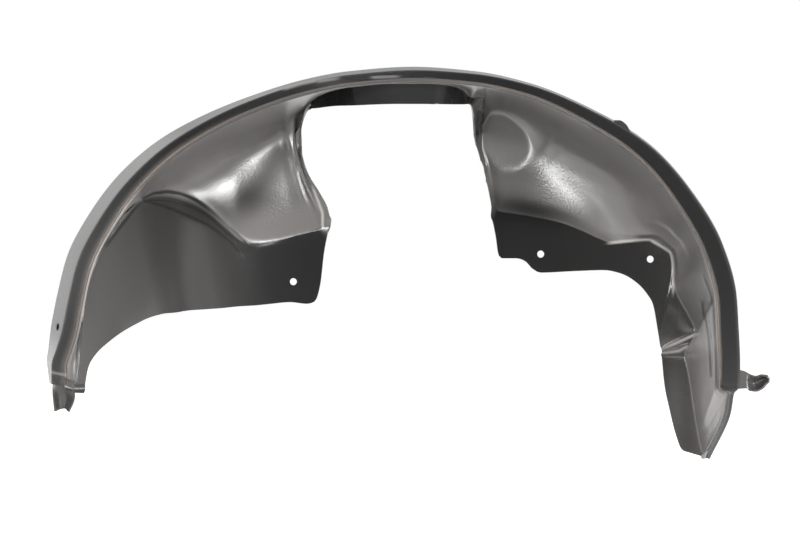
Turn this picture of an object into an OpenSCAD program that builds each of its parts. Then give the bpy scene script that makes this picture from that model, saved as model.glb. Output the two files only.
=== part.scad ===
// Front wheel arch liner: one thermoformed shell, 2.5 mm thick.
// X runs along the car, Y goes inboard (away from the wheel), Z is up.
// The origin is the top middle of the flat front flange.

/* [Overall] */
// width of the arch across the flat front flange
span = 740; // [600:1:900]
// height of the arch from the flange top down to the flap tip
rise = 432; // [350:1:520]
// distance from the front flange back to the screwed inner flanges
wall_depth = 190; // [140:1:240]
// thickness of the moulded sheet
sheet = 2.5; // [1.6:0.1:3.5]

/* [Rim] */
// width of the flat front flange at the top of the arch
flange_top = 7.5; // [5:0.5:14]
// width of the flat front flange low on the left
flange_left = 13; // [8:0.5:20]
// width of the flat front flange low on the right
flange_right = 18; // [8:0.5:24]
// depth of the outer lip that returns inboard on the left
lip_left = 36; // [15:1:50]
// depth of the outer lip at the top and on the right
lip_right = 24; // [12:1:40]
// how far the left end of the outer lip flares outward
flare_left = 20; // [4:1:30]
// how far the lip flares outward at the top and right
flare_right = 5; // [2:0.5:12]
// height of the stiffening bead between flange and skin
bead = 2; // [0.5:0.25:4]

/* [Screw holes] */
// diameter of the three holes in the inner flanges
hole_d = 8.4; // [5:0.1:12]
// left hole, height above the flange's lower edge
hole_left_up = 24.5; // [12:0.5:40]
// middle hole, height above the flange's lower edge
hole_mid_up = 22; // [12:0.5:40]
// right hole, distance below the top of its scallop
hole_right_down = 24; // [12:0.5:40]
// diameter of the hole through the left outer lip
lip_hole_d = 7; // [4:0.1:9]
// depth of that hole behind the front flange
lip_hole_in = 15; // [8:0.5:24]

/* [Lobes] */
// depth of the flat round patch in the right lobe
disc_depth = 216; // [205:1:225]

/* [Hidden] */

// the drawn sizes, scaled to the chosen overall sizes
kx = span / 740;
ky = wall_depth / 190;
kz = rise / 432;
// wheel centre height, which all flange widths point to
hub = [0, 0, -350 * kz];

// Lines along the arch: [station, x, y, z]. Station 0 is the left foot and
// 104.5 is the tip of the right flap.

// outer edge of the flat front flange
rim_line = [
    [0, -374, 0, -335], [1.7, -374, 0, -315], [3.3, -369, 0, -298], [5.2, -363, 0, -279],
    [8.3, -356, 0, -245], [12.1, -346, 0, -204], [16.6, -323, 0, -159], [21.4, -291, 0, -116],
    [27.3, -242, 0, -73], [35, -166, 0, -33], [41.5, -98, 0, -11], [45.5, -54, 0, -3], [51.8, 16, 0, 2],
    [57.6, 80, 0, -2], [63, 139, 0, -14], [70.3, 215, 0, -46], [76, 268, 0, -79], [81.7, 311, 0, -126],
    [87.8, 346, 0, -185], [93, 361, 0, -239], [95.6, 363, 0, -268], [100, 365, 0, -318],
    [101.4, 364, 0, -339], [101.9, 360, 9, -346], [103, 363, 50, -376], [104.5, 359, 146, -432]
];

// fold between the skin or shelf and the band that ends in the free edge
fold_line = [
    [0, -349, 10, -338], [3, -348, 13, -301], [6, -345, 14, -269], [9, -341, 15, -236],
    [12, -331, 16, -204], [15, -316, 18, -176], [18, -300, 23, -153], [20, -291, 38, -141],
    [22, -287, 64, -134], [24, -281, 108, -126], [26, -269, 150, -122], [28, -249, 173, -127],
    [30, -228, 183, -140], [32, -205, 188, -160], [33.5, -186, 189.5, -176], [34.8, -168, 190.5, -180],
    [36, -148, 191, -177], [37.4, -121, 191, -170], [38.2, -102, 191, -165], [38.6, -95, 191, -163],
    [38.9, -91, 193, -156], [39.3, -94, 205, -141], [39.8, -105, 217, -120], [40.3, -118, 225, -95],
    [40.8, -125, 227, -70], [41.3, -125, 221, -49], [41.9, -117, 190, -31], [42.6, -107, 146, -21],
    [43.6, -97, 110, -17], [45.5, -74, 62, -13], [48, -50, 32, -12], [51, -9, 18, -10], [54, 33, 18, -10],
    [56, 55, 30, -11], [57.5, 70, 62, -13], [58.3, 82, 114, -16], [58.9, 91, 124, -14],
    [59.5, 97, 138, -14], [60.2, 100, 165, -15], [61, 101, 200, -23], [62, 99, 216, -40],
    [63, 99, 217, -63], [64.5, 104, 217, -83], [66, 108, 209, -106], [67.3, 113, 198, -129],
    [68, 116, 191, -142], [70, 133, 191, -145], [72.5, 158, 191, -149], [75, 190, 191, -156],
    [77, 214, 190, -165], [79, 238, 190, -176], [80.2, 254, 190, -181], [82, 278, 190, -178],
    [83.5, 297, 190, -176], [85, 312, 190, -185], [86, 321, 190, -191], [87.3, 324, 190, -207],
    [88.7, 324, 188, -227], [90, 331, 189, -246], [91.3, 344, 189, -269], [92.3, 351, 188, -286],
    [92.9, 334, 168, -310], [95, 337, 165, -329], [97, 341, 163, -352], [99, 344, 161, -376],
    [101, 348, 159, -401], [103, 352, 157, -423], [104.5, 356, 156, -431]
];

// inner free edge
edge_line = [
    [0, -343, 22, -344], [3, -341, 36, -319], [6, -335, 56, -304], [9, -327, 78, -294],
    [12, -316, 98, -284], [15, -302, 112, -275], [18, -289, 125, -268], [20, -280, 133, -265],
    [22, -271, 141, -263], [24, -259, 151, -262], [26, -246, 162, -260], [28, -228, 175, -259],
    [30, -211, 184.5, -258], [32, -191, 188.7, -256], [33.5, -173, 190, -255], [34.8, -153, 190, -253],
    [36, -130, 190, -251], [36.9, -110, 190, -253], [37.3, -101, 190, -250], [37.7, -95, 190, -232],
    [38.2, -90, 190, -191], [38.6, -85, 190, -165], [38.9, -83, 192, -155], [39.3, -86, 204, -140],
    [39.8, -97, 215, -119], [40.3, -112, 223, -95], [40.8, -119, 225, -70], [41.3, -119, 220, -49],
    [41.9, -113, 190, -31], [42.6, -106, 150, -26], [43.6, -94, 114, -28], [45.5, -72, 68, -30],
    [48, -44, 38, -32], [51, -2, 24, -32], [54, 33, 25, -32], [56, 54, 38, -31], [57.5, 70, 70, -28],
    [58.3, 80, 112, -24], [59.5, 85, 150, -29], [60.2, 87, 175, -35], [61, 89, 190, -44],
    [62, 91, 213, -59], [63, 94, 215, -70], [64.5, 100, 215, -87], [66, 104, 208, -109],
    [67.3, 108, 198, -132], [68, 110, 190, -152], [69, 114, 190, -175], [69.8, 117, 190, -195],
    [70.2, 121, 190, -199], [71.4, 138, 190, -199], [72.5, 148, 190, -202], [73.5, 158, 190, -212],
    [74.3, 167, 190, -216], [77, 211, 190, -214], [79, 242, 190, -213], [80.2, 262, 190, -217],
    [82, 281, 190, -228], [83.5, 293, 190, -241], [85, 300, 190, -253], [87.3, 305, 190, -279],
    [88.7, 307, 190, -292], [91.3, 309, 190, -304], [92.3, 310, 189, -307], [92.9, 307, 166, -310],
    [95, 308, 164, -330], [97, 310, 162, -350], [99, 315, 160, -375], [101, 321, 158, -401],
    [103, 328, 156, -421], [104.5, 331, 156, -424]
];

// depth of the skin at 28, 55 and 80 % of the way from rim to fold, and how
// far that way bows to the left: [station, depth, depth, depth, bow]
form_line = [
    [0, 9, 13, 14, 0], [6, 10, 14, 15, 0], [12, 10, 15, 17, 0], [18, 13, 20, 26, 0], [20, 16, 28, 38, 0],
    [22, 27, 50, 63, 0], [24, 56, 88, 104, 0], [26, 96.5, 128, 144.5, 0], [28, 129.5, 158, 169.5, 0],
    [30, 157.5, 179.5, 184.5, 0], [32, 181, 195, 193.5, 0], [33.5, 195.5, 203, 198, 0],
    [34.8, 205.5, 207.5, 201.5, 0], [36, 212.5, 211, 204.5, 0], [37.4, 216.5, 214, 208, 2],
    [38.2, 216.5, 215, 210, 6], [38.9, 215, 216, 211.5, 11], [39.3, 215, 217, 209, 13],
    [39.8, 213, 219, 217, 10], [40.3, 212, 226, 225, 5], [40.8, 188, 219, 227, 2], [41.3, 152, 197, 219, 0],
    [41.9, 105, 152, 178, 0], [42.6, 68, 100, 128, 0], [43.6, 36, 64, 90, 0], [45.5, 20, 38, 52, 0],
    [48, 12, 20, 26, 0], [51, 8, 12, 15, 0], [54, 8, 12, 15, 0], [56, 12, 19, 25, 0], [57.5, 24, 44, 60, 0],
    [58.3, 36, 70, 96, 0], [58.9, 40, 76, 102, 0], [59.5, 46, 86, 112, 0], [60.2, 66, 112, 146, 0],
    [61, 150, 190, 206, 0], [62, 200, 222, 224, 0], [63, 220, 230, 226, 0], [64.5, 216, 229, 224, 0],
    [66, 212, 223, 216.5, 0], [67.3, 206, 215.5, 211.5, 0], [70, 197, 207, 202, 0],
    [72.5, 187, 200.5, 198, 0], [75, 175, 194, 195, 0], [77, 163, 189, 193.5, 0], [79, 148, 185, 194, 0],
    [80.2, 135, 181, 195, 0], [82, 117, 169, 192, 0], [83.5, 104, 157, 187, 0], [85, 92, 145, 180, 0],
    [87.3, 74, 125, 165, 0], [90, 62, 115, 160, 0], [91.3, 58, 110, 152, 0], [92.3, 56, 107, 150, 0],
    [92.9, 57, 105, 143, 0], [95, 53, 99, 138, 0], [97, 48, 92, 131, 0], [99, 46, 88, 124, 0],
    [101.4, 46, 86, 122, 0], [103, 84, 110, 134, 0], [104.5, 148, 150, 153, 0]
];

// share of the depth at 28 % of the way that is reached at 14 %, by station
rise_line = [
    [0, 0.54], [24, 0.58], [26, 0.62], [28, 0.66], [30, 0.72], [32, 0.78], [33.5, 0.82], [34.8, 0.86],
    [36, 0.9], [37.4, 0.94], [39.3, 0.94], [41.3, 0.6], [58.3, 0.56], [61, 0.72], [63, 0.86], [67.3, 0.82],
    [72.5, 0.74], [78, 0.66], [83.5, 0.58], [104.5, 0.54]
];

// width of the step below the fold, how far it drops inboard, and how strongly
// the band below it curves: [station, width, drop, power]
step_line = [
    [0, 3, 0, 1.1], [12, 3, 0, 1.4], [18, 4, 2, 1.7], [20, 5, 4, 1.9], [22, 7, 6, 2], [24, 12, 9, 2],
    [26, 19, 13, 2], [28, 21, 11, 2], [30, 18, 6, 2], [32, 17, 1, 2], [33.5, 12, -1, 2], [34.8, 5, 0, 1.5],
    [36, 3, 0, 1], [104.5, 3, 0, 1]
];

// stations at which the shell is drawn
stations = concat([for (u = [0:1.5:21]) u], [for (u = [22:1:36]) u],
    [36.5, 37.1, 37.7, 38.3, 38.8, 39.4, 39.9, 40.2, 40.6, 41, 41.4, 41.9, 42.4, 42.9, 43.4],
    [44.2, 45, 46, 47, 48, 49.5, 51, 52.5, 54, 55, 56, 57, 57.8, 58.5, 59.3, 60, 61, 62, 63],
    [64.5, 66, 67.3, 68, 69, 69.8, 70.2, 71.4, 72.5, 73.5, 74.3, 75.6, 77, 78, 79, 80.2, 81],
    [82, 83.5, 84.3, 85, 86, 87.3, 88, 88.7, 90, 91.3, 92.3, 92.9, 94, 95.5, 97, 98.5, 100],
    [101.4, 101.9, 102.5, 103, 103.7, 104.5]);
// shares of the way from rim to fold and from fold to free edge
skin_steps = [0, 0.1, 0.2, 0.3, 0.4, 0.5, 0.6, 0.7, 0.78, 0.86, 0.93, 1];
band_steps = [0, 0.12, 0.26, 0.42, 0.6, 0.8, 1];

function unit(v) = v / max(norm(v), 1e-6);
function mix(a, b, f) = a + (b - a) * f;
function row(t, u) = max([for (k = [0:len(t) - 2]) if (k == 0 || t[k][0] <= u) k]);
function rate(t, k, c) = (t[k + 1][c] - t[k][c]) / (t[k + 1][0] - t[k][0]);
// slope at a row that never overshoots its neighbours
function slope(t, k, c) =
    k == 0 ? rate(t, 0, c)
    : k == len(t) - 1 ? rate(t, k - 1, c)
    : rate(t, k - 1, c) * rate(t, k, c) <= 0 ? 0
    : 2 / (1 / rate(t, k - 1, c) + 1 / rate(t, k, c));
function curve(t, u, c, k) =
    let (h = t[k + 1][0] - t[k][0], s = (u - t[k][0]) / h)
    t[k][c] * (1 + 2 * s) * pow(1 - s, 2) + slope(t, k, c) * h * s * pow(1 - s, 2)
    + t[k + 1][c] * s * s * (3 - 2 * s) + slope(t, k + 1, c) * h * s * s * (s - 1);
function at(t, u) = let (k = row(t, u)) [for (c = [1:len(t[0]) - 1]) curve(t, u, c, k)];
function place(t, u) = let (p = at(t, u)) [p[0] * kx, p[1] * ky, p[2] * kz];

flange_w = [[0, flange_left], [16, flange_left * 0.9], [35, flange_top * 1.1], [50, flange_top],
    [62, flange_top * 1.1], [78, flange_right * 0.85], [88, flange_right], [101.4, flange_right],
    [101.9, sheet], [104.5, sheet]];
lip_size = [[0, lip_left * 0.5, flare_left * 0.3], [3, lip_left, flare_left * 0.75],
    [6, lip_left, flare_left], [20, lip_left, flare_left * 0.9], [38, lip_right * 1.1, flare_right * 1.5],
    [52, lip_right, flare_right * 1.3], [68, lip_right, flare_right], [101.4, lip_right, flare_right],
    [101.9, sheet, sheet * 0.4], [104.5, sheet, sheet * 0.4]];

// Sections are straight as seen from the wheel side, so they are laid out on
// the rim plane and spread outward with depth from a point far in front.
far = 1800 * ky;
centre = [0, 0, -208.7 * kz];
function drop(p) = mix(centre, [p[0], 0, p[2]], far / (far + p[1]));
function lift(p, y) = mix(centre, p, (far + y) / far) + [0, y, 0];

// one section of the sheet's wheel side, from the lip's end to the free edge
function section(u) =
    let (rim = place(rim_line, u), fold = place(fold_line, u), edge = place(edge_line, u),
        out = unit([rim[0], 0, rim[2] - hub[2]]),
        w = at(flange_w, u)[0], lip = at(lip_size, u), f = at(form_line, u), s = at(step_line, u),
        root = rim - out * (w + 2.5 * bead) + [0, 2.2 * bead, 0],
        near_root = drop(root), near_fold = drop(fold), near_edge = drop(edge),
        way = near_fold - near_root,
        side = unit([way[2], 0, -way[0]]),
        cap = (u > 58 ? disc_depth : 400) * ky,
        steep = mix(root[1], f[0] * ky, at(rise_line, u)[0]),
        depth = [[0, root[1]], [0.14, steep], [0.28, f[0] * ky], [0.55, f[1] * ky],
            [0.8, f[2] * ky], [1, fold[1]]],
        run = near_edge - near_fold,
        share = s[0] / norm(run),
        start = near_fold + run * share,
        start_y = mix(fold[1], edge[1], share) + s[1] * ky)
    concat(
        [rim + out * lip[1] + [0, lip[0], 0], rim + out * lip[1] / 2 + [0, lip[0] / 2, 0]],
        [rim, rim - out * w],
        [rim - out * (w + bead) + [0, 1.6 * bead, 0], rim - out * (w + 1.8 * bead) + [0, bead, 0]],
        [for (q = skin_steps)
            lift(near_root + way * q + side * f[3] * 4 * q * (1 - q), min(at(depth, q)[0], cap))],
        [for (q = band_steps)
            lift(mix(start, near_edge, q), edge[1] - (edge[1] - start_y) * pow(1 - q, s[2]))]
    );

face = [for (u = stations) section(u)];

// small folded ends that hang on the rim: grids of wheel-side points
foot = [
    [[-371, 1, -329], [-367, 1, -329], [-361, 1, -329], [-350, 3, -332]],
    [[-372, 0, -338], [-367.5, 3, -337], [-362, 4, -337], [-350, 3, -341]],
    [[-370.5, 0, -352], [-367, 7, -350], [-361, 9, -350], [-351, 3, -351]],
    [[-369, 0, -364], [-367, 8, -363], [-362, 10, -362], [-357, 3, -364.5]]
];
tab = [
    [[354, 1.2, -324], [354, 1.2, -328], [354, 1.2, -333], [354, 1.2, -337], [354, 1.2, -341]],
    [[365, 1, -320], [365, 1, -326], [365, 1, -331], [365, 1, -336], [365, 1, -340]],
    [[372, 0, -322], [372, 0, -327], [372, 0, -331], [372, 0, -335.5], [372, 0, -339.5]],
    [[376, 0, -326], [376, 3, -329.5], [376, 5, -333.5], [376, 3, -337.5], [376, 0, -341]],
    [[382, 0, -328], [382, 6, -331], [382, 9, -334.5], [382, 5, -338.5], [382, -1, -341]],
    [[388, 0, -326.5], [388, 6, -329], [388, 9, -332], [388, 5, -335.5], [388, -1, -338.5]],
    [[393, 0, -327], [393, 4, -328.5], [393, 6, -330], [393, 3, -332], [393, 0, -333.5]],
    [[395.5, 0, -328.5], [395.5, 1.5, -329.2], [395.5, 2, -330], [395.5, 1, -330.8], [395.5, 0, -331.5]]
];

// back of a sheet: every point moved out by the sheet thickness
function normal_at(g, i, j) =
    let (nu = len(g), nv = len(g[0]),
        tu = g[min(i + 1, nu - 1)][j] - g[max(i - 1, 0)][j],
        a = unit(cross(tu, g[i][max(j, 1)] - g[i][max(j, 1) - 1])),
        b = unit(cross(tu, g[i][min(j, nv - 2) + 1] - g[i][min(j, nv - 2)])))
    (a + b) / max(1 + a * b, 0.6);
function split(p, q, r, s, a, b, c, d) =
    norm(p - r) <= norm(q - s) ? [[a, b, c], [a, c, d]] : [[a, b, d], [b, c, d]];

// closed sheet of the chosen thickness behind a grid of points
module sheet_body(g) {
    nu = len(g);
    nv = len(g[0]);
    n = nu * nv;
    back = [for (i = [0:nu - 1]) for (j = [0:nv - 1]) g[i][j] + normal_at(g, i, j) * sheet];
    quads = [for (i = [0:nu - 2]) for (j = [0:nv - 2]) let (a = i * nv + j)
        each split(g[i][j], g[i + 1][j], g[i + 1][j + 1], g[i][j + 1],
            a, a + nv, a + nv + 1, a + 1)];
    rear = [for (t = quads) [t[0] + n, t[2] + n, t[1] + n]];
    side = [for (i = [0:nu - 2]) let (a = i * nv, b = a + nv - 1)
        each [[a, a + n, a + n + nv], [a, a + n + nv, a + nv],
            [b, b + nv, b + nv + n], [b, b + nv + n, b + n]]];
    ends = [for (j = [0:nv - 2]) let (b = (nu - 1) * nv + j)
        each [[j, j + 1, j + 1 + n], [j, j + 1 + n, j + n],
            [b, b + n, b + 1 + n], [b, b + 1 + n, b + 1]]];
    polyhedron(points = concat([each for (r = g) r], back),
        faces = concat(quads, rear, side, ends), convexity = 12);
}

function sized(p) = [p[0] * kx, p[1] * ky, p[2] * kz];

// turned so that the wheel side of the small ends has the shell's winding
module foot_prong() {
    sheet_body([for (c = [0:3]) [for (r = [0:3]) sized(foot[r][c])]]);
}

module end_tab() {
    sheet_body([for (r = tab) [for (p = r) sized(p)]]);
}

// a hole square to the inner flanges, at a place given on their plane
module screw_hole(p) {
    translate([p[0], p[1] - 6 * hole_d / 2, p[2]])
        rotate([-90, 0, 0])
            cylinder(h = 6 * hole_d, d = hole_d, $fn = 48);
}

// a hole square to the outer lip, at station 5.5 of the rim
module lip_hole() {
    rim = place(rim_line, 5.5);
    out = unit([rim[0], 0, rim[2] - hub[2]]);
    lip = at(lip_size, 5.5);
    axis = unit(out * lip[0] - [0, lip[1], 0]);
    translate(rim + out * lip[1] * lip_hole_in / lip[0] + [0, lip_hole_in, 0])
        rotate([0, acos(axis[2]), atan2(axis[1], axis[0])])
            cylinder(h = 3 * lip_hole_d, d = lip_hole_d, center = true, $fn = 48);
}

module liner() {
    color("#2b2b2c")
        difference() {
            union() {
                sheet_body(face);
                foot_prong();
                end_tab();
            }
            screw_hole(place(edge_line, 36.16) + [0, 0, hole_left_up]);
            screw_hole(place(edge_line, 74.3) + [0, 0, hole_mid_up]);
            screw_hole(place(fold_line, 83.5) - [0, 0, hole_right_down]);
            lip_hole();
        }
}

liner();
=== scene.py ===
import math

import bpy
import bmesh
import numpy as np
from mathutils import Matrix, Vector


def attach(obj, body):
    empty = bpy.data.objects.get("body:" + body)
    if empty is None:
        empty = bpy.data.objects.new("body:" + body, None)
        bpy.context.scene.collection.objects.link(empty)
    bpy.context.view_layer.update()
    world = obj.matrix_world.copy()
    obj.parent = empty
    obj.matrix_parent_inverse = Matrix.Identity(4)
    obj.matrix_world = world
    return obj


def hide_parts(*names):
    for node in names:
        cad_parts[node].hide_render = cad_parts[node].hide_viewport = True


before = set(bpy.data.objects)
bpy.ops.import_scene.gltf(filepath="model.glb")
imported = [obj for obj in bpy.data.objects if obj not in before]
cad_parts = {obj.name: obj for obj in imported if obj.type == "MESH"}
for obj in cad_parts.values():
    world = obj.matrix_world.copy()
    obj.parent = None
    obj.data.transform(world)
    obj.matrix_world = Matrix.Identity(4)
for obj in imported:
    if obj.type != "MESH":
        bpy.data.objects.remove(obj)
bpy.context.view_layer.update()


# The liner: one sheet of black plastic, drawn over a mould and trimmed.
# It is rebuilt on the CAD part's own section lines, in millimetres, with
# far more sections, so that its folds turn with the small radius of a moulding.
def curve(table, at):
    """Smooth columns of a table of [station, value, ...] that never overshoot."""
    t = np.array(table, float)
    x, y = t[:, 0], t[:, 1:]
    h = np.diff(x)[:, None]
    rate = np.diff(y, axis=0) / h
    same = rate[:-1] * rate[1:] > 0
    mean = 2 * rate[:-1] * rate[1:] / np.where(same, rate[:-1] + rate[1:], 1)
    slope = np.vstack([rate[:1], np.where(same, mean, 0), rate[-1:]])
    k = np.clip(np.searchsorted(x, at, "right") - 1, 0, len(x) - 2)
    s = (at - x[k])[:, None] / h[k]
    return (y[k] * (1 + 2 * s) * (1 - s) ** 2 + slope[k] * h[k] * s * (1 - s) ** 2
            + y[k + 1] * s * s * (3 - 2 * s) + slope[k + 1] * h[k] * s * s * (s - 1))


# the flange's outer edge, where the lip turns back: [station, x, y, z], with
# the stations counted from the left foot and y the depth behind the rim plane
rim_line = [
    [0, -374, 0, -335], [1.7, -374, 0, -315], [3.3, -369, 0, -298], [5.2, -363, 0, -279],
    [8.3, -356, 0, -245], [12.1, -346, 0, -204], [16.6, -323, 0, -159], [21.4, -291, 0, -116],
    [27.3, -242, 0, -73], [35, -166, 0, -33], [41.5, -98, 0, -11], [45.5, -54, 0, -3],
    [51.8, 16, 0, 2], [57.6, 80, 0, -2], [63, 139, 0, -14], [70.3, 215, 0, -46], [76, 268, 0, -79],
    [81.7, 311, 0, -126], [87.8, 346, 0, -185], [93, 361, 0, -239], [95.6, 363, 0, -268],
    [100, 365, 0, -318], [101.4, 364, 0, -339], [101.9, 360, 9, -346], [103, 363, 50, -376],
    [104.5, 359, 146, -432]
]
# the fold between the skin and the inner flange: [station, x, y, z]
fold_line = [
    [0, -349, 10, -338], [3, -348, 13, -301], [6, -345, 14, -269], [9, -341, 15, -236],
    [12, -331, 16, -204], [15, -316, 18, -176], [18, -300, 23, -153], [20, -291, 38, -141],
    [22, -287, 64, -134], [24, -281, 108, -126], [26, -269, 150, -122], [28, -249, 173, -127],
    [30, -228, 183, -140], [32, -205, 188, -160], [33.5, -186, 189.5, -176],
    [34.8, -168, 190.5, -180], [36, -148, 191, -177], [37.4, -121, 191, -170],
    [38.2, -102, 191, -165], [38.6, -95, 191, -163], [38.9, -91, 193, -156],
    [39.3, -94, 205, -141], [39.8, -105, 217, -120], [40.3, -118, 225, -95],
    [40.8, -125, 227, -70], [41.3, -125, 221, -49], [41.9, -117, 190, -31], [42.6, -107, 146, -21],
    [43.6, -97, 110, -17], [45.5, -74, 62, -13], [48, -50, 32, -12], [51, -9, 18, -10],
    [54, 33, 18, -10], [56, 55, 30, -11], [57.5, 70, 62, -13], [58.3, 82, 114, -16],
    [58.9, 91, 124, -14], [59.5, 97, 138, -14], [60.2, 100, 165, -15], [61, 101, 200, -23],
    [62, 99, 216, -40], [63, 99, 217, -63], [64.5, 104, 217, -83], [66, 108, 209, -106],
    [67.3, 113, 198, -129], [68, 116, 191, -142], [70, 133, 191, -145], [72.5, 158, 191, -149],
    [75, 190, 191, -156], [77, 214, 190, -165], [79, 238, 190, -176], [80.2, 254, 190, -181],
    [82, 278, 190, -178], [83.5, 297, 190, -176], [85, 312, 190, -185], [86, 321, 190, -191],
    [87.3, 324, 190, -207], [88.7, 324, 188, -227], [90, 331, 189, -246], [91.3, 344, 189, -269],
    [92.3, 351, 188, -286], [92.9, 334, 168, -310], [95, 337, 165, -329], [97, 341, 163, -352],
    [99, 344, 161, -376], [101, 348, 159, -401], [103, 352, 157, -423], [104.5, 356, 156, -431]
]
# the trimmed inner edge: [station, x, y, z]
edge_line = [
    [0, -343, 22, -344], [3, -341, 36, -319], [6, -335, 56, -304], [9, -327, 78, -294],
    [12, -316, 98, -284], [15, -302, 112, -275], [18, -289, 125, -268], [20, -280, 133, -265],
    [22, -271, 141, -263], [24, -259, 151, -262], [26, -246, 162, -260], [28, -228, 175, -259],
    [30, -211, 184.5, -258], [32, -191, 188.7, -256], [33.5, -173, 190, -255],
    [34.8, -153, 190, -253], [36, -130, 190, -251], [36.9, -110, 190, -253],
    [37.3, -101, 190, -250], [37.7, -95, 190, -232], [38.2, -90, 190, -191],
    [38.6, -85, 190, -165], [38.9, -83, 192, -155], [39.3, -86, 204, -140], [39.8, -97, 215, -119],
    [40.3, -112, 223, -95], [40.8, -119, 225, -70], [41.3, -119, 220, -49], [41.9, -113, 190, -31],
    [42.6, -106, 150, -26], [43.6, -94, 114, -28], [45.5, -72, 68, -30], [48, -44, 38, -32],
    [51, -2, 24, -32], [54, 33, 25, -32], [56, 54, 38, -31], [57.5, 70, 70, -28],
    [58.3, 80, 112, -24], [59.5, 85, 150, -29], [60.2, 87, 175, -35], [61, 89, 190, -44],
    [62, 91, 213, -59], [63, 94, 215, -70], [64.5, 100, 215, -87], [66, 104, 208, -109],
    [67.3, 108, 198, -132], [68, 110, 190, -152], [69, 114, 190, -175], [69.8, 117, 190, -195],
    [70.2, 121, 190, -199], [71.4, 138, 190, -199], [72.5, 148, 190, -202], [73.5, 158, 190, -212],
    [74.3, 167, 190, -216], [77, 211, 190, -214], [79, 242, 190, -213], [80.2, 262, 190, -217],
    [82, 281, 190, -228], [83.5, 293, 190, -241], [85, 300, 190, -253], [87.3, 305, 190, -279],
    [88.7, 307, 190, -292], [91.3, 309, 190, -304], [92.3, 310, 189, -307], [92.9, 307, 166, -310],
    [95, 308, 164, -330], [97, 310, 162, -350], [99, 315, 160, -375], [101, 321, 158, -401],
    [103, 328, 156, -421], [104.5, 331, 156, -424]
]
# the skin's depth at 28, 55 and 80 % of the way from the bead to the fold, and
# how far the section bows sideways: [station, depth, depth, depth, bow]
form_line = [
    [0, 9, 13, 14, 0], [6, 10, 14, 15, 0], [12, 10, 15, 17, 0], [18, 13, 20, 26, 0],
    [20, 16, 28, 38, 0], [22, 27, 50, 63, 0], [24, 56, 88, 104, 0], [26, 96.5, 128, 144.5, 0],
    [28, 129.5, 158, 169.5, 0], [30, 157.5, 179.5, 184.5, 0], [32, 181, 195, 193.5, 0],
    [33.5, 195.5, 203, 198, 0], [34.8, 205.5, 207.5, 201.5, 0], [36, 212.5, 211, 204.5, 0],
    [37.4, 216.5, 214, 208, 2], [38.2, 216.5, 215, 210, 6], [38.9, 215, 216, 211.5, 11],
    [39.3, 215, 217, 209, 13], [39.8, 213, 219, 217, 10], [40.3, 212, 226, 225, 5],
    [40.8, 188, 219, 227, 2], [41.3, 152, 197, 219, 0], [41.9, 105, 152, 178, 0],
    [42.6, 68, 100, 128, 0], [43.6, 36, 64, 90, 0], [45.5, 20, 38, 52, 0], [48, 12, 20, 26, 0],
    [51, 8, 12, 15, 0], [54, 8, 12, 15, 0], [56, 12, 19, 25, 0], [57.5, 24, 44, 60, 0],
    [58.3, 36, 70, 96, 0], [58.9, 40, 76, 102, 0], [59.5, 46, 86, 112, 0], [60.2, 66, 112, 146, 0],
    [61, 150, 190, 206, 0], [62, 200, 222, 224, 0], [63, 220, 230, 226, 0],
    [64.5, 216, 229, 224, 0], [66, 212, 223, 216.5, 0], [67.3, 206, 215.5, 211.5, 0],
    [70, 197, 207, 202, 0], [72.5, 187, 200.5, 198, 0], [75, 175, 194, 195, 0],
    [77, 163, 189, 193.5, 0], [79, 148, 185, 194, 0], [80.2, 135, 181, 195, 0],
    [82, 117, 169, 192, 0], [83.5, 104, 157, 187, 0], [85, 92, 145, 180, 0],
    [87.3, 74, 125, 165, 0], [90, 62, 115, 160, 0], [91.3, 58, 110, 152, 0],
    [92.3, 56, 107, 150, 0], [92.9, 57, 105, 143, 0], [95, 53, 99, 138, 0], [97, 48, 92, 131, 0],
    [99, 46, 88, 124, 0], [101.4, 46, 86, 122, 0], [103, 84, 110, 134, 0],
    [104.5, 148, 150, 153, 0]
]
# the share of the first of those depths that the skin has at 14 % of the way
rise_line = [
    [0, 0.54], [24, 0.58], [26, 0.62], [28, 0.66], [30, 0.72], [32, 0.78], [33.5, 0.82],
    [34.8, 0.86], [36, 0.9], [37.4, 0.94], [39.3, 0.94], [41.3, 0.6], [58.3, 0.56], [61, 0.72],
    [63, 0.86], [67.3, 0.82], [72.5, 0.74], [78, 0.66], [83.5, 0.58], [104.5, 0.54]
]
# the inner flange's bend: [station, its distance from the fold, its extra
# depth there, how sharply it then turns to its own plane]
step_line = [
    [0, 3, 0, 1.1], [12, 3, 0, 1.4], [18, 4, 2, 1.7], [20, 5, 4, 1.9], [22, 7, 6, 2],
    [24, 12, 9, 2], [26, 19, 13, 2], [28, 21, 11, 2], [30, 18, 6, 2], [32, 17, 1, 2],
    [33.5, 12, -1, 2], [34.8, 5, 0, 1.5], [36, 3, 0, 1], [104.5, 3, 0, 1]
]
# the flat front flange: [station, width]
flange_width = [
    [0, 13], [16, 11.7], [35, 8.3], [50, 7.5], [62, 8.3], [78, 15.3], [88, 18], [101.4, 18],
    [101.9, 2.5], [104.5, 2.5]
]
# the lip outside the flange: [station, depth, reach outward]
lip_size = [
    [0, 18, 6], [3, 36, 15], [6, 36, 20], [20, 36, 18], [38, 26.4, 7.5], [52, 24, 6.5],
    [68, 24, 5], [101.4, 24, 5], [101.9, 2.5, 1], [104.5, 2.5, 1]
]

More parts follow.
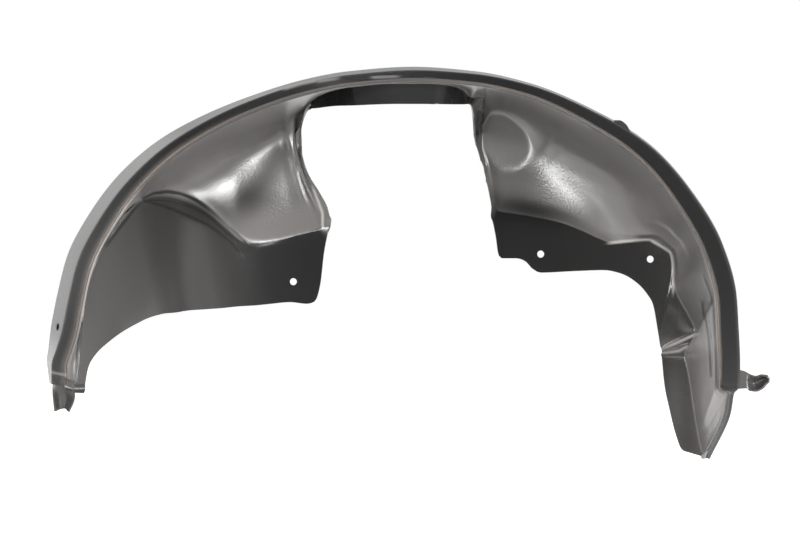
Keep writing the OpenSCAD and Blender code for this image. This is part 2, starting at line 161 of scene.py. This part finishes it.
# stations spaced evenly along whichever line is longest there
LAST, STATIONS = 104.5, 460
fine = np.linspace(0, LAST, 4000)
strides = [np.linalg.norm(np.diff(curve(table, fine), axis=0), axis=1)
           for table in (rim_line, fold_line, edge_line)]
travel = np.concatenate([[0], np.cumsum(np.max(strides, axis=0))])
u = np.interp(np.linspace(0, travel[-1], STATIONS), travel, fine)
rim, fold, edge = curve(rim_line, u), curve(fold_line, u), curve(edge_line, u)
form, step = curve(form_line, u), curve(step_line, u)
width, lip = curve(flange_width, u), curve(lip_size, u)


def ramp(stations, values):
    """A column of values along the arch, straight between the given stations."""
    return np.interp(u, stations, values)[:, None]


# the bead beside the flange, as steps inward (to AXIS) and in depth, in bead
# sizes, and the root that the skin starts from
AXIS = np.array([0, 0, -350])
BEAD, ROOT_IN, ROOT_DEPTH = 2.0, 2.5, 2.2
bead_path = ((0.35, 0.8), (0.7, 1.45), (1, 1.6), (1.25, 1.45), (1.5, 1.15), (1.8, 1), (2.1, 1.3))
flat = np.array([1, 0, 1])
deep = np.array([[0.0, 1.0, 0.0]])
out = (rim - AXIS) * flat
out /= np.linalg.norm(out, axis=1)[:, None]
root = rim - out * (width + ROOT_IN * BEAD) + deep * ROOT_DEPTH * BEAD
# Sections are straight as seen from the wheel side, so they are laid out
# on the rim plane and spread outward with depth from a point far in front.
FAR = 1800.0
centre = np.array([0, 0, -208.7])
MM = 1000    # in a metre


def drop(p):
    """A point's place on the rim plane, seen from the far point."""
    return centre + (p * flat - centre) * FAR / (FAR + p[..., 1:2])


def lift(p, y):
    """The point at depth y that drop() would put at p."""
    q = centre + (p - centre) * (FAR + y[:, None]) / FAR
    q[:, 1] = y
    return q


def even_out(grid, weight, times):
    """Evens a grid along the arch, in place, where the weight isn't 0."""
    for _ in range(times):
        grid[1:-1] += weight[1:-1] / 4 * (grid[:-2] + grid[2:] - 2 * grid[1:-1])


def soften(grid, times):
    """Rounds the folds of a grid by averaging, in place, with its borders kept."""
    for _ in range(times):
        around = grid[:-2, 1:-1] + grid[2:, 1:-1] + grid[1:-1, :-2] + grid[1:-1, 2:]
        grid[1:-1, 1:-1] = grid[1:-1, 1:-1] / 2 + around / 8


near_root, near_fold, near_edge = drop(root), drop(fold), drop(edge)
way = near_fold - near_root
side = np.stack([way[:, 2], 0 * u, -way[:, 0]], 1)
side /= np.linalg.norm(side, axis=1)[:, None]
run = near_edge - near_fold
length = np.linalg.norm(run, axis=1)
near_start = near_fold + run / length[:, None] * step[:, :1]
start_y = fold[:, 1] + (edge[:, 1] - fold[:, 1]) * (step[:, 0] / length) + step[:, 1]

# the skin: its depth is known at six places across, and is evened along the
# arch wherever no fold crosses it, with the ledge on the right kept crisp
SKIN_STEPS = 52
knots = np.array([0, 0.14, 0.28, 0.55, 0.8, 1])
steep = root[:, 1] + (form[:, 0] - root[:, 1]) * curve(rise_line, u)[:, 0]
depths = np.column_stack([root[:, 1], steep, form[:, :3], fold[:, 1]])
across = np.linspace(0, 1, SKIN_STEPS)
skin_y = curve(np.column_stack([knots, depths.T]), across).T
inside = skin_y[:, 1:-1]
even_out(inside, ramp([0, 37.5, 38.9, 61.5, 64, 88, 90, LAST], [1, 1, 0, 0, 1, 1, 0, 0]), 90)
above_ledge = np.interp(across[1:-1], [0, 0.45, 0.75], [1, 1, 0])
even_out(inside, ramp([0, 84, 88, 100, 103], [0, 0, 1, 1, 0]) * above_ledge, 300)
soften(inside, 30)
place = (near_root[:, None] + way[:, None] * across[:, None]
         + side[:, None] * form[:, 3:, None] * (4 * across * (1 - across))[:, None])

# the right lobe is one even bulge, averaged over REACH, that swells round a
# flat round pad; the pad is where its depth is capped
REACH = 13
PAD, PAD_RADIUS, PAD_SWELL, PAD_DEPTH = [115, 0, -75], 42, 2.5, 216
lobe = np.flatnonzero((u > 61) & (u < 91))
spot = place[lobe].reshape(-1, 3)
area = np.linalg.norm(np.cross(np.gradient(place, axis=0), np.gradient(place, axis=1)), axis=2)
cell, raw = area[lobe].ravel(), skin_y[lobe].ravel()
blend = (ramp([62.5, 64.5, 86, 89], [0, 1, 1, 0])
         * np.interp(across, [0.3, 0.52, 0.84, 1], [0, 1, 1, 0]))
for i in lobe:
    pull = cell * np.exp(-((place[i][:, None] - spot) ** 2).sum(axis=2) / (2 * REACH ** 2))
    swell = PAD_SWELL * np.exp(-((place[i] - PAD) ** 2).sum(axis=1) / PAD_RADIUS ** 2)
    skin_y[i] += blend[i] * (pull @ raw / pull.sum(axis=1) + swell - skin_y[i])
skin_y[u > 58] = np.minimum(skin_y[u > 58], PAD_DEPTH)

# the inner flange, from its bend to the trimmed edge
BAND_STEPS = 28
band = np.linspace(0, 1, BAND_STEPS)
band_y = edge[:, 1:2] - (edge[:, 1] - start_y)[:, None] * (1 - band) ** step[:, 2:]
even_out(band_y, ramp([0, 12, 16, 34, 37, LAST], [0, 0, 1, 1, 0, 0]), 150)

# all the lines of the grid, from the lip's free edge to the trimmed inner edge
LIP_STEPS, FLANGE_STEPS = 6, 6
lines = [rim + out * lip[:, 1:] * q + deep * lip[:, :1] * q
         for q in np.linspace(1, 0, LIP_STEPS + 1)[:-1]]
lines += [rim - out * width * q for q in np.linspace(0, 1, FLANGE_STEPS)]
lines += [rim - out * (width + a * BEAD) + deep * b * BEAD for a, b in bead_path]
lines += [lift(place[:, j], skin_y[:, j]) for j in range(SKIN_STEPS)]
lines += [lift(near_fold + (near_start - near_fold) * q, fold[:, 1] + (start_y - fold[:, 1]) * q)
          for q in (0.35, 0.7)]
lines += [lift(near_start + (near_edge - near_start) * q, band_y[:, j])
          for j, q in enumerate(band)]
face = np.stack(lines, 1)
# the grid's columns at which the flange, the bead, the skin and the band start
FLANGE_AT = LIP_STEPS
BEAD_AT = FLANGE_AT + FLANGE_STEPS
SKIN_AT = BEAD_AT + len(bead_path)
BAND_AT = SKIN_AT + SKIN_STEPS
columns = np.arange(face.shape[1])

# The looks of each point are values on the grid, placed as seen from the far
# point, in millimetres on the rim plane.
seen = drop(face)
seen_x, seen_z = seen[..., 0], seen[..., 2]


def patch(x, z, wide, high, turn=0):
    """A soft oval patch: 1 in its middle and 0 far from it."""
    a = math.radians(turn)
    along = (seen_x - x) * math.cos(a) + (seen_z - z) * math.sin(a)
    beside = (seen_z - z) * math.cos(a) - (seen_x - x) * math.sin(a)
    return np.exp(-(along / wide) ** 2 - (beside / high) ** 2)


# painted light and shade in the plastic's grey: paler on the skins, the bead and the lip's left
# side for the light they catch, darker on the flange and the flats
drawn = np.zeros(face.shape[:2])
drawn[:, :FLANGE_AT] = ramp([0, 28, 36, 60, 66], [0.5, 0.5, 0.12, 0.1, 0])
drawn[:, FLANGE_AT] = 0.25
drawn[:, BEAD_AT:SKIN_AT] = 0.5
drawn[:, SKIN_AT:BAND_AT] = 1
drawn[:, BAND_AT:] = ramp(
    [0, 14, 22, 31, 35, 38.4, 38.9, 42.4, 42.8, 58.4, 59, 67.4, 68, 101, 104],
    [0.7, 0.42, 0.24, 0.16, 0.02, 0, 1, 1, 0, 0, 1, 1, 0, 0.25, 0.3])
# painted shade: darker, glossy patches on the lobes' shelves and hollows: (x, z, half width,
# half height, turn, strength)
for x, z, wide, high, turn, depth in (
        (139, -146, 62, 16, -10, 0.9), (-165, -133, 36, 20, 30, 0.75),
        (-176, -100, 60, 12, 34, 0.5), (-115, -70, 34, 26, 40, 0.45),
        (-206, -139, 24, 9, -35, 0.6), (150, -105, 70, 18, -8, 0.6),
        (-120, -135, 40, 14, 12, 0.4)):
    drawn *= 1 - depth * patch(x, z, wide, high, turn)
# the painted light and shade, scaled to one grey
PAINTED_LIGHT_GREY = 0.38
drawn *= PAINTED_LIGHT_GREY
# painted light, paler, on both faces of the flap and on the ledge above it, where light falls from
# the left, and a pale scuff on the flange: (x, z, half width, half height, strength, first column)
for x, z, wide, high, depth, first in (
        (334, -345, 17, 75, 0.45, SKIN_AT), (295, -355, 12, 60, 0.12, SKIN_AT),
        (294, -294, 16, 7, 0.4, SKIN_AT), (-70, -12, 22, 4, 0.04, FLANGE_AT - 1)):
    drawn += depth * patch(x, z, wide, high) * (columns >= first)

# painted shade in creases (below 0) and painted highlights on crests (above 0), with pale scuffs
# on the rim (above 0), that are finer than the sections: each point holds its distance in mm
# across the nearest line, and that line's strength, which fades beside it; a line starts at its
# own column of the grid
FOOT, SKIN, RIM = 4, SKIN_AT - 1, 3
line, mark = np.full(face.shape[:2], 20.0), np.zeros(face.shape[:2])
near = np.full(face.shape[:2], 1e9)
for strength, first, path in (
        # painted shade along the crescent fold on the left
        (-0.85, SKIN, [(-311, -181), (-295, -160), (-278, -137), (-264, -130), (-250, -128),
                       (-235, -130), (-218, -138), (-202, -150), (-186, -164), (-168, -179)]),
        (-0.6, SKIN, [(-275, -138), (-256, -143), (-240, -149), (-223, -156), (-207, -163),
                      (-193, -173), (-182, -181), (-174, -190)]),
        # a painted highlight on the scalloped ledge, painted shade in the two leaf grooves and
        # painted highlights on the ledge above the flap
        (0.6, SKIN, [(230, -183), (258, -180), (268, -179), (284, -189), (291, -193),
                     (293, -204), (293, -231)]),
        (-0.9, SKIN, [(328, -226), (335, -245), (338, -293), (339, -336)]),
        (-0.9, SKIN, [(325, -252), (331, -288), (333, -322)]),
        (0.7, SKIN, [(281, -298), (314, -283)]),
        (0.6, SKIN, [(281, -301), (299, -299), (305, -296)]),
        # painted shade in the slot and the gusset right of the opening, and a painted highlight on
        # its left edge
        (-0.9, SKIN, [(83, -47), (83, -61)]),
        (-0.6, SKIN, [(92, -21), (89, -60)]),
        (0.5, SKIN, [(-91, -131), (-87, -141), (-83, -151), (-83, -162)]),
        # a painted highlight on the fold above the prong, and pale scuffs on the rim
        (0.2, FOOT, [(-374, -322), (-360, -325), (-355, -325)]),
        (0.15, RIM, [(-118, -17), (-107, -13.5), (-95, -11)]),
        (0.15, RIM, [(-84, -10), (-72, -8)]),
        (0.15, RIM, [(-24, -6), (-8, -5.5)]),
        (0.2, RIM, [(34, -8), (44, -9)])):
    for (x0, z0), (x1, z1) in zip(path, path[1:]):
        dx, dz = x1 - x0, z1 - z0
        t = np.clip(((seen_x - x0) * dx + (seen_z - z0) * dz) / (dx * dx + dz * dz), 0, 1)
        away = np.hypot(seen_x - x0 - t * dx, seen_z - z0 - t * dz)
        beside = ((seen_x - x0) * dz - (seen_z - z0) * dx) / math.hypot(dx, dz)
        closer = (away < near) & (columns >= first)
        near = np.where(closer, away, near)
        line = np.where(closer, beside, line)
        mark = np.where(closer, strength * np.clip(1.6 - away / 6, 0, 1), mark)
# a painted highlight along the bead's foot, where the skin starts flat beside it, on the left
left, foot = u[:, None] < 22, slice(BEAD_AT + 4, BAND_AT)
shine = 0.45 * ramp([0, 5, 9, 19, 22], [0.3, 0.4, 1, 1, 0])
mark[:, foot] = np.where(left, shine, mark[:, foot])
line[:, foot] = np.where(left, np.interp(columns[foot], [16, 18, 60, 70], [-2.4, 0, 0.6, 2.4]),
                         line[:, foot])
# and the rim's scuffs stay on the rim above the opening
mark[(u > 42) & (u < 57), BEAD_AT:] = 0

# how rough the plastic is
sheen = np.full(face.shape[:2], 0.2)
sheen[:, FLANGE_AT:BEAD_AT] = 0.15
sheen[:, SKIN_AT - 1:BAND_AT] = 0.28
sheen[:, BAND_AT:] = ramp([0, 26, 35, 38.4, 38.9, 42, 42.8, 94, 98, 104],
                          [0.5, 0.5, 0.2, 0.14, 0.2, 0.2, 0.12, 0.12, 0.3, 0.3])
# how strongly it reflects, least on the flange, the flats and the dark patches
glint = np.full(face.shape[:2], 0.5)
glint[:, :FLANGE_AT] = ramp([0, 34, 40, 58, 66], [0.5, 0.5, 0.15, 0.12, 0.05])
glint[:, FLANGE_AT:SKIN_AT] = ramp([0, 20, 28, 62, 68], [0.2, 0.2, 0.03, 0.03, 0.2])
glint[:, BAND_AT:] = ramp([0, 20, 26, 38.4, 38.9, 39.5, 42, 42.8, 58, 60, 104],
                          [0.12, 0.12, 0.06, 0.12, 0.4, 0.4, 0.2, 0.06, 0.06, 0.2, 0.2])
for oval in ((-160, -140, 34, 20), (135, -150, 60, 12), (-206, -139, 20, 12)):
    glint -= 0.32 * patch(*oval)
glint = np.clip(glint, 0, 1)
# how deep its orange peel is, most where the lobes were drawn deepest
grain = np.full(face.shape[:2], 0.1)
for oval in ((-120, -145, 45, 26), (160, -115, 70, 30), (-165, -100, 50, 30)):
    grain += 0.3 * patch(*oval)
# where it is browned: in the bead all round, and in one stain on the right; along the bead's
# low end on the right the brown is partly a painted highlight
rust = np.zeros(face.shape[:2])
rust[:, BEAD_AT - 2:SKIN_AT - 1] = (np.array([0.1, 0.3, 0.6, 0.7, 0.7, 0.6, 0.4, 0.2])
                                    * ramp([0, 26, 36], [1, 1, 0]))
rise, fall = slice(BEAD_AT + 1, BEAD_AT + 2), slice(BEAD_AT + 4, BEAD_AT + 5)
rust[:, rise] = np.maximum(rust[:, rise], ramp([26, 36, 52, 62, 90, 96],
                                               [0, 0.7, 0, 0.9, 0.9, 0]))
rust[:, fall] = ramp([20, 30, 48, 60, 90, 96], [0, 0.6, 0, 0.9, 0.9, 0])
# the bead's low end on the right: brown, and a painted highlight along it
low_end = slice(BEAD_AT + 2, SKIN_AT + 7)
rust[:, low_end] = np.maximum(rust[:, low_end], ramp([89, 93, 101, 103], [0, 0.8, 0.8, 0]))
rust = np.maximum(rust, 0.9 * patch(250, -134, 2.5, 4))


def sheet(name, grid, thick=2.5, **looks):
    """A closed sheet behind a grid of points, in millimetres."""
    n = np.cross(np.gradient(grid, axis=0), np.gradient(grid, axis=1))
    n /= np.maximum(np.linalg.norm(n, axis=2), 1e-6)[..., None]
    # where the grid doubles back on itself, its neighbours give the direction
    mean = n.copy()
    for _ in range(12):
        mean[1:-1, 1:-1] += mean[:-2, 1:-1] + mean[2:, 1:-1] + mean[1:-1, :-2] + mean[1:-1, 2:]
        mean /= np.maximum(np.linalg.norm(mean, axis=2), 1e-6)[..., None]
    turned = (n * mean).sum(axis=2) < 0.2
    n[turned] = mean[turned]
    points = np.vstack([grid.reshape(-1, 3), (grid + n * thick).reshape(-1, 3)]) / MM
    # faces: the front, the back turned over, and the four edges between them
    nu, nv = grid.shape[:2]
    rear = nu * nv
    i, j = np.meshgrid(np.arange(nu - 1), np.arange(nv - 1), indexing="ij")
    a = (i * nv + j).ravel()
    quads = np.stack([a, a + 1, a + nv + 1, a + nv], 1)
    first, start = np.arange(nu - 1) * nv, np.arange(nv - 1)
    last, end = first + nv - 1, start + (nu - 1) * nv
    rims = [np.stack([first, first + nv, first + nv + rear, first + rear], 1),
            np.stack([last, last + rear, last + nv + rear, last + nv], 1),
            np.stack([start, start + rear, start + 1 + rear, start + 1], 1),
            np.stack([end, end + 1, end + 1 + rear, end + rear], 1)]
    mesh = bpy.data.meshes.new(name)
    faces = np.vstack([quads, quads[:, ::-1] + rear] + rims)
    mesh.from_pydata(points.tolist(), [], faces.tolist())
    mesh.validate()
    # the looks go on both faces, but stains, painted shade and highlights, and scuffs only on the
    # front
    plain = dict(drawn=0.1, sheen=0.3, glint=0.3, grain=0.1, rust=0, line=20, mark=0)
    for label, value in {**plain, **looks}.items():
        values = np.tile(np.broadcast_to(value, (nu, nv)).ravel(), 2).astype(np.float32)
        if label in ("rust", "mark"):
            values[rear:] = 0
        mesh.attributes.new(label, "FLOAT", "POINT").data.foreach_set("value", values)
    obj = bpy.data.objects.new(name, mesh)
    bpy.context.scene.collection.objects.link(obj)
    return obj


soften(face[:, SKIN_AT - 1:], 2)
liner = sheet("liner_sheet", face, drawn=drawn, sheen=sheen, glint=glint,
              grain=grain, rust=rust, line=line, mark=mark)


# The ends of the front flange: a folded prong under the left foot and a tab
# with a cupped end on the right. Both are the same sheet as the liner, as are
# a sliver on the rim at the upper right and a short return beside the prong.
def refine(grid, nu, nv):
    """A small grid of points made smooth and dense."""
    grid = np.array(grid, float)
    count, wide = grid.shape[:2]
    a, b = np.linspace(0, count - 1, nu), np.linspace(0, wide - 1, nv)
    rows = curve(np.column_stack([np.arange(count), grid.reshape(count, -1)]), a)
    cols = rows.reshape(nu, -1, 3).transpose(1, 0, 2).reshape(wide, -1)
    dense = curve(np.column_stack([np.arange(wide), cols]), b)
    return dense.reshape(nv, nu, 3).transpose(1, 0, 2)


prong = refine(
    [[[-371, 1, -329], [-367, 1, -329], [-361, 1, -329], [-350, 3, -332]],
     [[-372, 0, -338], [-367.5, 3, -337], [-362, 4, -337], [-350, 3, -341]],
     [[-370.5, 0, -352], [-367, 7, -350], [-361, 9, -350], [-351, 3, -351]],
     [[-369, 0, -364], [-367, 8, -363], [-362, 10, -362], [-357, 3, -364.5]]], 16, 16)
tab = refine(
    [[[354, 1.2, -324], [354, 1.2, -328], [354, 1.2, -333], [354, 1.2, -337], [354, 1.2, -341]],
     [[365, 1, -320], [365, 1, -326], [365, 1, -331], [365, 1, -336], [365, 1, -340]],
     [[372, 0, -322], [372, 0, -327], [372, 0, -331], [372, 0, -335.5], [372, 0, -339.5]],
     [[376, 0, -326], [376, 3, -329.5], [376, 5, -333.5], [376, 3, -337.5], [376, 0, -341]],
     [[382, 0, -328], [382, 6, -331], [382, 9, -334.5], [382, 5, -338.5], [382, -1, -341]],
     [[388, 0, -326.5], [388, 6, -329], [388, 9, -332], [388, 5, -335.5], [388, -1, -338.5]],
     [[393, 0, -327], [393, 4, -328.5], [393, 6, -330], [393, 3, -332], [393, 0, -333.5]],
     [[395.5, 0, -328.5], [395.5, 1.5, -329.2], [395.5, 2, -330], [395.5, 1, -330.8],
      [395.5, 0, -331.5]]], 36, 18)
sliver = refine(
    [[[230, 4, -51.5], [236, 4, -51.5], [243, 4, -56], [247, 4, -62.5]],
     [[230, 4, -55], [236, 4, -58], [241, 4, -62], [245, 4, -66]]], 4, 16)
turn_back = refine(
    [[[-361, 4, -334], [-350, 5, -335], [-339, 6, -335]],
     [[-360, 3, -339], [-350, 3, -341], [-338.5, 4, -341]],
     [[-358, 4, -341.5], [-350, 4, -344.5], [-340, 5, -345]]], 10, 12)
ends = [sheet("foot_prong", prong.transpose(1, 0, 2), 2.2), sheet("end_tab", tab, 2.2),
        sheet("rim_tab", sliver, 1.5, drawn=0),
        sheet("skin_end", turn_back.transpose(1, 0, 2), 2, drawn=0)]

# The screw holes, three through the inner flanges and one through the outer
# lip, are cut square to the sheet at the sizes that the CAD part has:
# (x, y, z, diameter, turn in degrees), in millimetres.
DRILL_LENGTH = 30
drill = bmesh.new()
for x, y, z, d, turn in ((-126.6, 190, -226.7, 8.4, 0), (167, 190, -194, 8.4, 0),
                         (297, 190, -200, 8.4, 0), (-370.3, 15, -274.2, 7, -61)):
    pin = bmesh.ops.create_cone(drill, cap_ends=True, segments=40, radius1=d / 2 / MM,
                                radius2=d / 2 / MM, depth=DRILL_LENGTH / MM)["verts"]
    for angle, axis in ((90, "X"), (turn, "Z")):
        spin = Matrix.Rotation(math.radians(angle), 3, axis)
        bmesh.ops.rotate(drill, verts=pin, matrix=spin)
    bmesh.ops.translate(drill, verts=pin, vec=(x / MM, y / MM, z / MM))
drill_mesh = bpy.data.meshes.new("drill")
drill.to_mesh(drill_mesh)
drill.free()
driller = bpy.data.objects.new("drill", drill_mesh)
bpy.context.scene.collection.objects.link(driller)
cut = liner.modifiers.new("holes", "BOOLEAN")
cut.object = driller
cut.solver = "EXACT"
drilled = liner.evaluated_get(bpy.context.evaluated_depsgraph_get())
done = bpy.data.meshes.new_from_object(drilled)
liner.modifiers.clear()
liner.data = done
bpy.data.objects.remove(driller)

# The ends join the liner's mesh, and only the sheet's own edges stay sharp.
whole = bmesh.new()
whole.from_mesh(liner.data)
for piece in ends:
    whole.from_mesh(piece.data)
    bpy.data.objects.remove(piece)
whole.to_mesh(liner.data)
whole.free()
liner.data.polygons.foreach_set("use_smooth", [True] * len(liner.data.polygons))
liner.data.set_sharp_from_angle(angle=math.radians(60))


# The plastic: black polypropylene, satin, with the fine orange peel that drawing leaves in the
# sheet and a little dust and scuffing along the rim; its grey also holds painted light and shade,
# with painted shade in creases and painted highlights on crests.
def linear(code):
    """Linear colour of an sRGB hex code."""
    parts = [int(code[i:i + 2], 16) / 255 for i in (1, 3, 5)]
    return [c / 12.92 if c <= 0.04045 else ((c + 0.055) / 1.055) ** 2.4 for c in parts] + [1]


def add(tree, kind, links=(), **values):
    """One node with its values, its inputs linked from other nodes' outputs."""
    node = tree.nodes.new(kind)
    for key, value in values.items():
        setattr(node, key, value)
    for name, source in links:
        if hasattr(source, "is_linked"):
            tree.links.new(source, node.inputs[name])
        else:
            node.inputs[name].default_value = source
    return node


def calc(tree, operation, a, b, clamp=False):
    """The output of a math node."""
    return add(tree, "ShaderNodeMath", [(0, a), (1, b)], operation=operation,
               use_clamp=clamp).outputs[0]


def blended(tree, factor, base, colour):
    """The output of a mix from a base, linked or a colour, to a colour."""
    return add(tree, "ShaderNodeMix", [("Factor", factor), (6, base), (7, linear(colour))],
               data_type="RGBA").outputs[2]


plastic = bpy.data.materials.new("black_plastic")
plastic.use_nodes = True
tree = plastic.node_tree
shader = tree.nodes["Principled BSDF"]
shader.inputs["IOR"].default_value = 1.52
look = {name: add(tree, "ShaderNodeAttribute", attribute_name=name).outputs["Fac"]
        for name in ("drawn", "sheen", "glint", "rust", "line", "mark", "grain")}
tree.links.new(look["sheen"], shader.inputs["Roughness"])
tree.links.new(look["glint"], shader.inputs["Specular IOR Level"])
# painted shade darkens the creases, painted highlights light their crests and the rim's scuffs are
# pale, across lines held as distances in mm
ridge = add(tree, "ShaderNodeMapRange", [
    ("Value", calc(tree, "ABSOLUTE", look["line"], 0)), ("From Min", 0.1), ("From Max", 2.6),
    ("To Min", 1.0), ("To Max", 0.0)], interpolation_type="SMOOTHSTEP")
force = calc(tree, "MULTIPLY", ridge.outputs[0], look["mark"])
crease_shade = calc(tree, "MULTIPLY", force, -1.0, clamp=True)
crest_highlight_and_scuff = calc(tree, "MULTIPLY", force, 0.8, clamp=True)
# painted light and shade: the grey runs from the dark flange to the paler, lit skins
colour = blended(tree, look["drawn"], linear("#131313"), "#7a7775")
# the bead's brown and the stain, with a painted highlight at the bead's low end
colour = blended(tree, look["rust"], colour, "#57504b")
# painted shade in the creases
colour = blended(tree, crease_shade, colour, "#141413")
# painted highlights on the crests, and the rim's pale scuffs
colour = blended(tree, crest_highlight_and_scuff, colour, "#a5a29e")
tree.links.new(colour, shader.inputs["Base Color"])
where = add(tree, "ShaderNodeTexCoord").outputs["Object"]
peel = add(tree, "ShaderNodeTexNoise", [
    ("Vector", where), ("Scale", 420.0), ("Detail", 3.0), ("Roughness", 0.5)])
bump = add(tree, "ShaderNodeBump", [
    ("Height", peel.outputs["Fac"]), ("Strength", look["grain"]), ("Distance", 0.0007)])
crease = add(tree, "ShaderNodeBump", [
    ("Height", force), ("Strength", 0.5), ("Distance", 0.001), ("Normal", bump.outputs["Normal"])])
tree.links.new(crease.outputs["Normal"], shader.inputs["Normal"])
liner.data.materials.clear()
liner.data.materials.append(plastic)
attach(liner, "root")
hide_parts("liner")

# The stage: a pale floor under the flap's tip and a white surround, with soft
# boxes left, right and above the camera and two weak lamps behind the rim.
FLOOR_Z = -0.4375
bpy.ops.mesh.primitive_plane_add(size=14, location=(0, 0, FLOOR_Z))
floor = bpy.context.object
floor.name = "floor"
pale = bpy.data.materials.new("pale_floor")
pale.use_nodes = True
tree = pale.node_tree
ground = tree.nodes["Principled BSDF"]
ground.inputs["Base Color"].default_value = linear("#f2f2f2")
ground.inputs["Roughness"].default_value = 0.9
ray = add(tree, "ShaderNodeLightPath").outputs
shown = calc(tree, "MAXIMUM", ray["Is Camera Ray"], ray["Is Glossy Ray"])
white = add(tree, "ShaderNodeEmission", [
    ("Color", (1, 1, 1, 1)), ("Strength", calc(tree, "MULTIPLY", shown, 0.82))])
both = add(tree, "ShaderNodeAddShader", [(0, ground.outputs[0]), (1, white.outputs[0])])
tree.links.new(both.outputs[0], tree.nodes["Material Output"].inputs["Surface"])
floor.data.materials.append(pale)

# The surround is white to the camera, less bright in reflections from the
# front, and a faint even light on everything else.
AMBIENT = 0.16
world = bpy.data.worlds.new("surround")
bpy.context.scene.world = world
world.use_nodes = True
tree = world.node_tree
tree.nodes.clear()
ray = add(tree, "ShaderNodeLightPath").outputs
way_out = add(tree, "ShaderNodeTexCoord").outputs["Generated"]
toward = add(tree, "ShaderNodeSeparateXYZ", [("Vector", way_out)])
around = add(tree, "ShaderNodeMapRange", [
    ("Value", toward.outputs["Y"]), ("From Min", -0.7), ("From Max", 0.5),
    ("To Min", 0.2), ("To Max", 1.0)])
shown = calc(tree, "MAXIMUM", ray["Is Camera Ray"], ray["Is Transmission Ray"])
glossy = calc(tree, "MULTIPLY", ray["Is Glossy Ray"], around.outputs[0])
level = calc(tree, "MAXIMUM", calc(tree, "MAXIMUM", shown, glossy), AMBIENT)
mixed = add(tree, "ShaderNodeBackground", [("Color", (1, 1, 1, 1)), ("Strength", level)])
add(tree, "ShaderNodeOutputWorld", [("Surface", mixed.outputs[0])])

# the lamps: name, place, aim, width and height in metres, power in watts
for name, spot, aim, wide, high, power in (
        ("left_box", (-0.95, -1.5, 0.12), (0.15, 0.2, -0.12), 0.5, 0.8, 36),
        ("right_box", (1.35, -0.95, -0.1), (-0.2, 0.2, -0.1), 0.5, 0.6, 57),
        ("front_box", (-0.36, -1.8, 0.43), (0.1, 0.2, -0.12), 0.8, 0.32, 40),
        ("left_lamp", (-2.0, 1.5, 0.3), (0, 0.1, -0.2), 2.0, 2.0, 6),
        ("right_lamp", (2.2, 1.2, 0.3), (0, 0.1, -0.2), 2.0, 2.0, 5)):
    data = bpy.data.lights.new(name, "AREA")
    data.shape = "RECTANGLE"
    data.size = wide
    data.size_y = high
    data.energy = power
    lamp = bpy.data.objects.new(name, data)
    lamp.location = spot
    lamp.rotation_euler = (Vector(aim) - Vector(spot)).to_track_quat("-Z", "Y").to_euler()
    bpy.context.scene.collection.objects.link(lamp)

# The camera stands where the photographer's did, at the far point that the
# sections spread from, level and square to the rim.
SENSOR, FOCAL_PIXELS, PICTURE_PIXELS = 36, 1677.6, 800
eye = bpy.data.cameras.new("camera")
eye.sensor_width = SENSOR
eye.lens = SENSOR * FOCAL_PIXELS / PICTURE_PIXELS
camera = bpy.data.objects.new("camera", eye)
camera.location = (0, -FAR / MM, centre[2] / MM)
camera.rotation_euler = (math.radians(90), 0, 0)
bpy.context.scene.collection.objects.link(camera)
bpy.context.scene.camera = camera
bpy.context.scene.view_settings.view_transform = "Standard"
